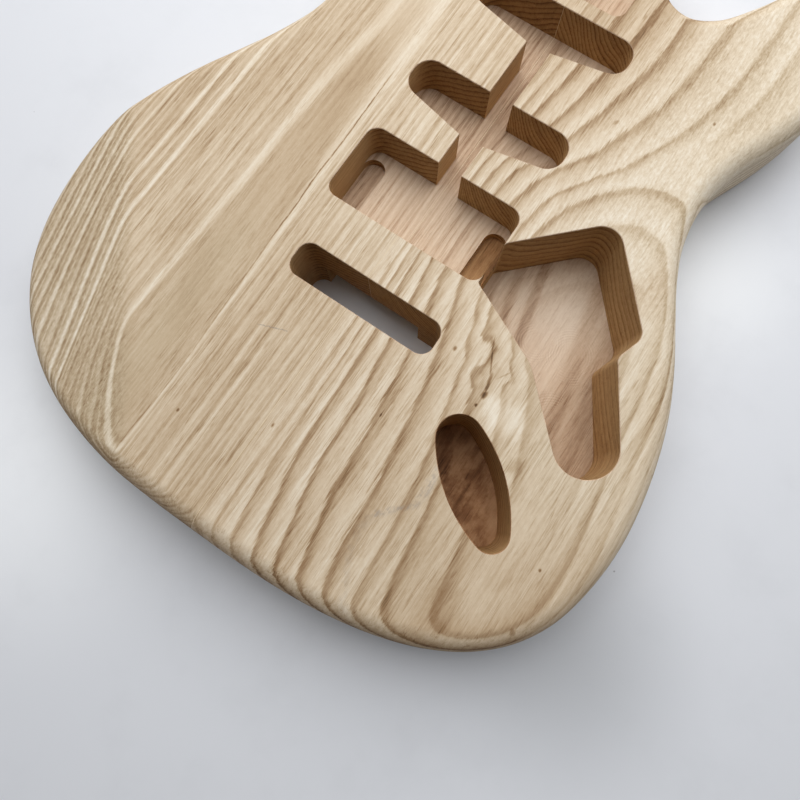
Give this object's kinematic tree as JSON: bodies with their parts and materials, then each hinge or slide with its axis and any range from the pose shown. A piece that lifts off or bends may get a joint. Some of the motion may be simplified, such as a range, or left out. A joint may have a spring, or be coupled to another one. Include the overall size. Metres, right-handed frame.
{
  "type": "electric guitar body",
  "caption": "Solid guitar body with two cutaways, edge-glued from ash planks, with cavities for pickups, controls, output jack, tremolo and a bolt-on neck.",
  "frame": {"origin": "on the back face, on the centre line, halfway along the body's length", "axes": "+X towards the treble side, +Y towards the neck, +Z out of the front face"},
  "size_m": [0.3286, 0.46, 0.045],
  "materials": {
    "bass_ash": "sanded bare ash, fine straight grain, tan",
    "treble_ash": "sanded bare ash, bold flat-sawn grain, pale",
    "wood_glue": "cured wood glue, pale yellow"
  },
  "bodies": {
    "root": {"bass_side_plank": "bass_ash", "treble_side_plank": "treble_ash", "butt_end_glue_line": "wood_glue", "neck_end_glue_line": "wood_glue"}
  },
  "joints": []
}
